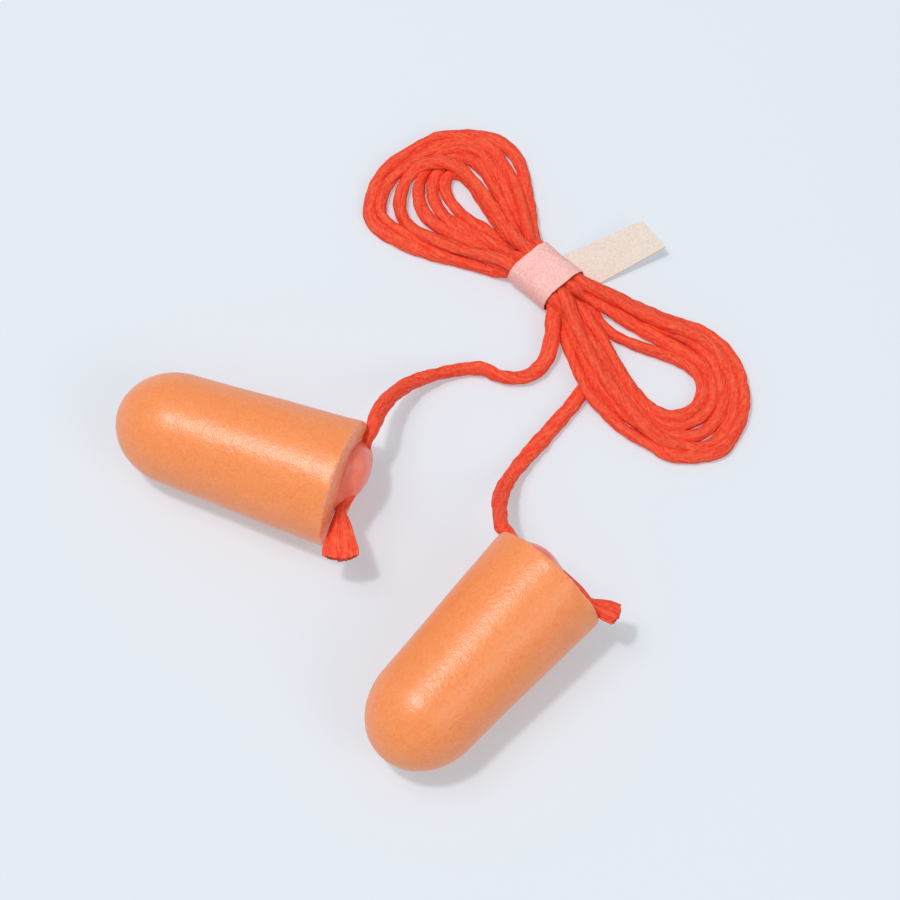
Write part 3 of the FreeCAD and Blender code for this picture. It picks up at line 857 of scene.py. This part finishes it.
def new_group(name, inputs, outputs):
    """An empty shader group with named inputs and outputs, or None if it is there already."""
    if name in bpy.data.node_groups:
        return None
    tree = bpy.data.node_groups.new(name, "ShaderNodeTree")
    for way, sockets in (("INPUT", inputs), ("OUTPUT", outputs)):
        for socket_name, kind in sockets.items():
            tree.interface.new_socket(name=socket_name, in_out=way, socket_type=f"NodeSocket{kind}")
    return tree


def mixed(tree, share, first, second):
    node = add_node(tree, "ShaderNodeMix", {0: share, 6: first, 7: second}, data_type="RGBA")
    return node.outputs[2]


def worked_out(tree, operation, *values, **settings):
    """The result of one sum on numbers and sockets."""
    node = add_node(tree, "ShaderNodeMath", dict(enumerate(values)), operation=operation,
                    **settings)
    return node.outputs[0]


def attribute(tree, name, output="Fac"):
    return add_node(tree, "ShaderNodeAttribute", attribute_name=name).outputs[output]


def object_place(tree):
    return add_node(tree, "ShaderNodeTexCoord").outputs["Object"]


def mottle_group():
    """Soft patches: noise of two sizes, the small one half as strong, made into a mask."""
    name = "Mottle"
    tree = new_group(name, {"Vector": "Vector", "Scale": "Float", "Low": "Float", "High": "Float"},
                     {"Mask": "Float"})
    if tree:
        source = add_node(tree, "NodeGroupInput").outputs
        noise = add_node(tree, "ShaderNodeTexNoise", {
            "Vector": source["Vector"], "Scale": source["Scale"], "Detail": 3.0, "Roughness": 0.6})
        rise = add_node(tree, "ShaderNodeMapRange", {
            "Value": noise.outputs[0], "From Min": source["Low"], "From Max": source["High"]},
            interpolation_type="SMOOTHSTEP")
        add_node(tree, "NodeGroupOutput", {"Mask": rise.outputs[0]})
    return bpy.data.node_groups[name]


def grain_group():
    """A fine grain's height: noise over cells, for foam skin and paper."""
    name = "Fine grain"
    tree = new_group(name, {"Vector": "Vector", "Scale": "Float"}, {"Height": "Float"})
    if tree:
        source = add_node(tree, "NodeGroupInput").outputs
        noise = add_node(tree, "ShaderNodeTexNoise", {
            "Vector": source["Vector"], "Scale": source["Scale"], "Detail": 4.0, "Roughness": 0.65})
        cells = add_node(tree, "ShaderNodeTexVoronoi", {
            "Vector": source["Vector"], "Scale": source["Scale"]})
        both = worked_out(tree, "ADD", noise.outputs[0], cells.outputs["Distance"])
        add_node(tree, "NodeGroupOutput", {"Height": both})
    return bpy.data.node_groups[name]


def new_material(name, roughness, **constants):
    material = bpy.data.materials.new(name)
    material.use_nodes = True
    tree = material.node_tree
    shader = tree.nodes["Principled BSDF"]
    shader.inputs["Roughness"].default_value = roughness
    for key, value in constants.items():
        shader.inputs[key.replace("_", " ")].default_value = value
    return material, tree, shader


def mottled(tree, place, scale, low, high):
    node = add_node(tree, "ShaderNodeGroup", node_tree=mottle_group(), inputs={
        "Vector": place, "Scale": scale, "Low": low, "High": high})
    return node.outputs[0]


def add_bump(tree, shader, height, strength, distance):
    bump = add_node(tree, "ShaderNodeBump", {
        "Height": height, "Strength": strength, "Distance": distance})
    tree.links.new(bump.outputs["Normal"], shader.inputs["Normal"])


def add_grain(tree, shader, place, scale, strength, distance):
    node = add_node(tree, "ShaderNodeGroup", {"Vector": place, "Scale": scale},
                    node_tree=grain_group())
    add_bump(tree, shader, node.outputs[0], strength, distance)


def opaque(colour):
    return (*colour, 1.0)


def colour_with(tree, shader, colour):
    tree.links.new(colour, shader.inputs["Base Color"])


def foam_material(settings):
    """Moulded foam: soft mottling and painted shade in the pits on the skin; paler edges on the cut
    cells.
    """
    material, tree, shader = new_material("moulded foam", 0.33, Specular_IOR_Level=0.6)
    place = object_place(tree)
    cut, pits = attribute(tree, "cut_face"), attribute(tree, "pits")
    mottle = mottled(tree, place, 900.0, 0.35, 0.75)
    # The share of the darker colour: random patches, and painted shade in the skin's pits.
    deep = worked_out(tree, "MULTIPLY_ADD", mottle, 0.35, pits)
    skin = mixed(tree, deep, opaque(settings.skin), opaque(settings.skin_patch_and_pit_shade))
    cells = mottled(tree, place, 2600.0, 0.42, 0.66)
    face = mixed(tree, cells, opaque(settings.cut_face), opaque(settings.cut_edge))
    specks = mottled(tree, place, 4200.0, 0.40, 0.62)
    specks = worked_out(tree, "MULTIPLY", specks, 0.34)
    skin = mixed(tree, specks, skin, opaque(settings.skin_light))
    colour_with(tree, shader, mixed(tree, cut, skin, face))
    add_grain(tree, shader, place, 5200.0, 0.4, 0.04 * MM)
    return material


def glue_material(settings):
    """Dried clear glue over a coloured cord: smooth, pinker or redder in soft random patches."""
    material, tree, shader = new_material("dried glue", 0.33, Coat_Weight=0.25, Coat_Roughness=0.2)
    place = object_place(tree)
    mottle = mottled(tree, place, 420.0, 0.35, 0.7)
    colour_with(tree, shader, mixed(tree, mottle, opaque(settings.body), opaque(settings.thin)))
    add_grain(tree, shader, place, 900.0, 0.06, 0.08 * MM)
    return material


def cord_material(settings, frayed=False):
    """Loosely twisted fibre: streaks that run with the twist, painted shade in the grooves
    between the fibres and a painted highlight on the raised ones, with a low specular gloss."""
    material, tree, shader = new_material("frayed fibre" if frayed else "twisted fibre", 0.62,
                                          Specular_IOR_Level=0.25)
    fibre = attribute(tree, "fibre", "Vector")
    broad = mottled(tree, fibre, 2.6, 0.40, 0.72)
    fine = mottled(tree, fibre, 5.0, 0.42, 0.62)
    place = object_place(tree)
    fuzz = mottled(tree, place, 2600.0, 0.45, 0.62)
    grooves = attribute(tree, "grooves")
    # The darker share: random streaks along the twist, and painted shade in the grooves.
    dark = worked_out(tree, "MULTIPLY_ADD", broad, 0.5, grooves, use_clamp=True)
    ground = mixed(tree, dark, opaque(settings.fibre), opaque(settings.fibre_streak_and_groove_shade))
    # The paler share: a painted highlight on the raised fibres, where the same noise lifts the bump
    # below, and random flecks.
    raised = worked_out(tree, "MULTIPLY", fine, 0.45)
    light = worked_out(tree, "MULTIPLY_ADD", fuzz, 0.35, raised)
    colour_with(tree, shader, mixed(tree, light, ground, opaque(settings.fibre_fleck_and_highlight)))
    add_bump(tree, shader, fine, 0.5, 0.1 * MM)
    return material


def paper_material(name, colour, fleck, strength):
    """Soft paper: a mottled tint, short fibres and a fine tooth."""
    material, tree, shader = new_material(name, 0.85, Specular_IOR_Level=0.25)
    place = object_place(tree)
    patches = mottled(tree, place, 900.0, 0.38, 0.7)
    flecks = mottled(tree, place, 4600.0, 0.40, 0.66)
    both = worked_out(tree, "MULTIPLY_ADD", patches, 0.3, flecks)
    share = worked_out(tree, "MULTIPLY", both, strength, use_clamp=True)
    colour_with(tree, shader, mixed(tree, share, opaque(colour), opaque(fleck)))
    add_grain(tree, shader, place, 4200.0, 0.3, 0.05 * MM)
    return material


# Stage ---------------------------------------

# Where the camera looks on the floor, in mm.
LOOK_AT = np.array([-9.99, -18.47, 0.0])
# The share of the floor's brightness that it gives off itself, as a backlit table does.
FLOOR_GLOW = 0.35
FLOOR_HALF = 4.0
SENSOR_WIDTH = 36
# Each light's place from where the camera looks and its size, in metres, and its power setting.
LIGHTS = (
    ("main light", (-0.38, 0.10, 1.0), 0.55, "key_power"),
    ("side light", (0.5, -0.4, 0.6), 0.5, "side_power"),
    ("gloss light", (-0.212, 0.006, 0.772), 0.07, "gloss_power"),
)


def aim(piece, place, target):
    """Puts a light or the camera at a place, pointing at the target."""
    piece.location = Vector(place)
    towards = Vector(np.asarray(target) - np.asarray(place))
    piece.rotation_euler = towards.to_track_quat("-Z", "Y").to_euler()


class EARPLUGS_OT_stage(Operator):
    """Set up the camera, the pale floor and the soft lights"""

    bl_idname = "earplugs.stage"
    bl_label = "Stage"

    def execute(self, context):
        scene = context.scene
        settings = scene.ear_plug_stage
        target = LOOK_AT * MM
        back = np.array([0, -np.cos(settings.elevation), np.sin(settings.elevation)])
        camera = bpy.data.objects.new("camera", bpy.data.cameras.new("camera"))
        camera.data.lens = settings.lens
        camera.data.sensor_width = SENSOR_WIDTH
        camera.data.clip_start = 0.01
        scene.collection.objects.link(camera)
        aim(camera, target + settings.distance * back, target)
        scene.camera = camera

        for name, place, size, power in LIGHTS:
            lamp = bpy.data.lights.new(name, "AREA")
            lamp.shape = "DISK"
            lamp.size = size
            lamp.energy = getattr(settings, power)
            light = bpy.data.objects.new(name, lamp)
            scene.collection.objects.link(light)
            aim(light, target + np.array(place), target)

        world = bpy.data.worlds.new("surroundings")
        world.use_nodes = True
        background = world.node_tree.nodes["Background"]
        background.inputs["Color"].default_value = (1, 1, 1, 1)
        background.inputs["Strength"].default_value = settings.fill
        scene.world = world
        scene.view_settings.view_transform = "Standard"

        mesh = bpy.data.meshes.new("floor")
        corners = np.array([(-1, -1, 0), (1, -1, 0), (1, 1, 0), (-1, 1, 0)]) * FLOOR_HALF
        mesh.from_pydata((target + corners).tolist(), [], [(0, 1, 2, 3)])
        material, tree, shader = new_material("pale floor", 0.9, Specular_IOR_Level=0.1)
        place = object_place(tree)
        tint = mottled(tree, place, 6.0, 0.3, 0.7)
        pale = opaque([(1 - FLOOR_GLOW) * part for part in settings.floor])
        paler = tuple(min(1.0, part * 1.006) for part in pale)
        colour_with(tree, shader, mixed(tree, tint, pale, paler))
        shader.inputs["Emission Color"].default_value = opaque(settings.floor)
        shader.inputs["Emission Strength"].default_value = FLOOR_GLOW
        mesh.materials.append(material)
        floor = bpy.data.objects.new("floor", mesh)
        scene.collection.objects.link(floor)
        floor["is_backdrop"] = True
        return {"FINISHED"}


# Panel ---------------------------------------


class VIEW3D_PT_ear_plugs(Panel):
    """The pieces in making order, and their sizes and colours"""

    bl_label = "Ear Plugs"
    bl_idname = "VIEW3D_PT_ear_plugs"
    bl_space_type = "VIEW_3D"
    bl_region_type = "UI"
    bl_category = "Ear Plugs"

    def draw(self, context):
        for step in STEPS:
            self.layout.operator(step.bl_idname)
        for name, group in SETTINGS.items():
            box = self.layout.box()
            for key in group.__annotations__:
                box.prop(getattr(context.scene, name), key)


SETTINGS = {
    "ear_plug_stage": StageSettings,
    "ear_plug_cord": CordSettings,
    "ear_plug_foam": FoamSettings,
    "ear_plug_glue": GlueSettings,
    "ear_plug_paper": PaperSettings,
}
STEPS = (EARPLUGS_OT_stage, EARPLUGS_OT_cord, EARPLUGS_OT_foam, EARPLUGS_OT_glue,
         EARPLUGS_OT_frayed_ends, EARPLUGS_OT_paper_band, EARPLUGS_OT_paper_tab)


def register():
    for group in (*SETTINGS.values(), *STEPS, VIEW3D_PT_ear_plugs):
        bpy.utils.register_class(group)
    for name, group in SETTINGS.items():
        setattr(bpy.types.Scene, name, PointerProperty(type=group))


def unregister():
    for name in SETTINGS:
        delattr(bpy.types.Scene, name)
    for group in reversed((*SETTINGS.values(), *STEPS, VIEW3D_PT_ear_plugs)):
        bpy.utils.unregister_class(group)


def main():
    register()
    bpy.ops.earplugs.stage()
    bpy.ops.earplugs.cord()
    bpy.ops.earplugs.foam()
    bpy.ops.earplugs.glue()
    bpy.ops.earplugs.frayed_ends()
    bpy.ops.earplugs.paper_band()
    bpy.ops.earplugs.paper_tab()
    boxes = {"cad": CAD_BOX, "visual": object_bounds()}
    boxes = {key: [[float(value) for value in corner] for corner in box]
             for key, box in boxes.items()}


if __name__ == "__main__":
    main()
